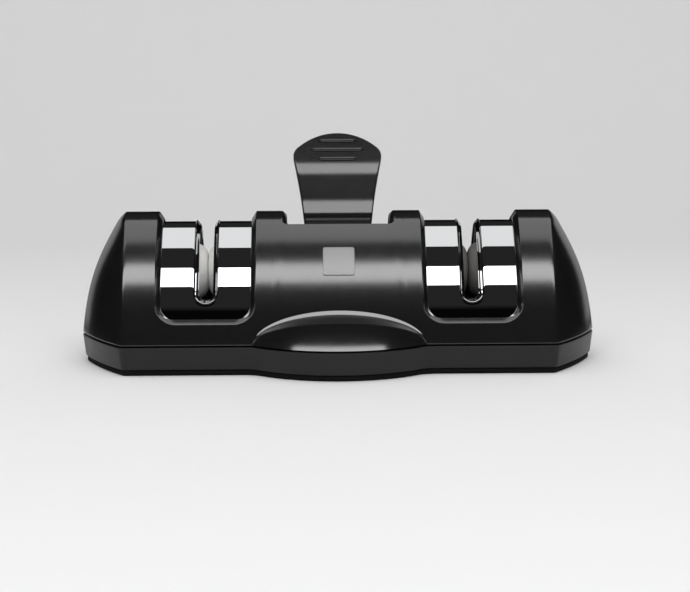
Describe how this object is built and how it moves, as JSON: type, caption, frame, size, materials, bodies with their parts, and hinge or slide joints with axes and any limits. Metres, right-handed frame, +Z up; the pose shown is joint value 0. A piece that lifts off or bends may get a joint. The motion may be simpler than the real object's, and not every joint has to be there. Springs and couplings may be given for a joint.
{
  "type": "knife sharpener",
  "caption": "Hand-pulled roller knife sharpener: a dark arched body with fine and coarse disc slots in bright covers, on a suction foot that a rear-swinging thumb lever locks to the worktop",
  "frame": {"origin": "On the ground under the middle of the body, in the lower face of the foot pad", "axes": "+X along the body from the fine to the coarse slot, -Y towards the front with the badge plate, +Z up"},
  "size_m": [0.16, 0.075, 0.0698],
  "materials": {
    "housing_plastic": "satin black moulded plastic",
    "base_plastic": "satin black moulded plastic",
    "lever_plastic": "satin black moulded plastic",
    "inner_plastic": "matt black moulded plastic",
    "foot_rubber": "matt black rubber",
    "cup_rubber": "smooth dark rubber",
    "cover_chrome": "mirror plated",
    "badge_metal": "brushed, blank",
    "inner_steel": "turned steel",
    "screw_steel": "zinc plated steel",
    "bush_brass": "turned brass",
    "fine_ceramic": "fine pale ceramic",
    "coarse_abrasive": "dark grit"
  },
  "bodies": {
    "frame": {"upper_housing": "housing_plastic", "base_shell": "base_plastic", "foot_pad": "foot_rubber", "badge_plate": "badge_metal", "cam_seat_plate": "inner_steel", "stud_bush": "bush_brass", "base_screws": "screw_steel", "cradle_screws": "screw_steel", "cam_seat_screws": "screw_steel", "fine_slot_cover": "cover_chrome", "fine_cradle": "inner_plastic", "fine_bushes": "bush_brass", "coarse_slot_cover": "cover_chrome", "coarse_cradle": "inner_plastic", "coarse_bushes": "bush_brass"},
    "stud": {"cup_stud": "inner_steel", "suction_cup": "cup_rubber", "cup_backing_disc": "inner_plastic", "lever_pin": "inner_steel", "pin_clips": "inner_steel"},
    "lever": {"suction_lever": "lever_plastic"},
    "fine_wheels": {"fine_axle": "inner_steel", "fine_left_disc": "fine_ceramic", "fine_right_disc": "fine_ceramic", "fine_spacers": "inner_plastic"},
    "coarse_wheels": {"coarse_axle": "inner_steel", "coarse_left_disc": "coarse_abrasive", "coarse_right_disc": "coarse_abrasive", "coarse_spacers": "inner_plastic"}
  },
  "joints": [
    {"name": "stud_lift", "type": "slide", "parent": "frame", "child": "stud", "axis": [0, 0, 1], "range_m": [0, 0.00295], "deforming": ["suction_cup"]},
    {"name": "lever_swing", "type": "hinge", "parent": "stud", "child": "lever", "pos_m": [0, 0, 0.03], "axis": [-1, 0, 0], "range_deg": [0, 84]},
    {"name": "fine_wheel_spin", "type": "hinge", "parent": "frame", "child": "fine_wheels", "pos_m": [-0.0403, 0, 0.028], "axis": [1, 0, 0], "continuous": true},
    {"name": "coarse_wheel_spin", "type": "hinge", "parent": "frame", "child": "coarse_wheels", "pos_m": [0.0403, 0, 0.028], "axis": [1, 0, 0], "continuous": true}
  ],
  "couplings": [
    {"joint": "stud_lift", "follows": "lever_swing", "m_per_rad": 0.0020082}
  ]
}
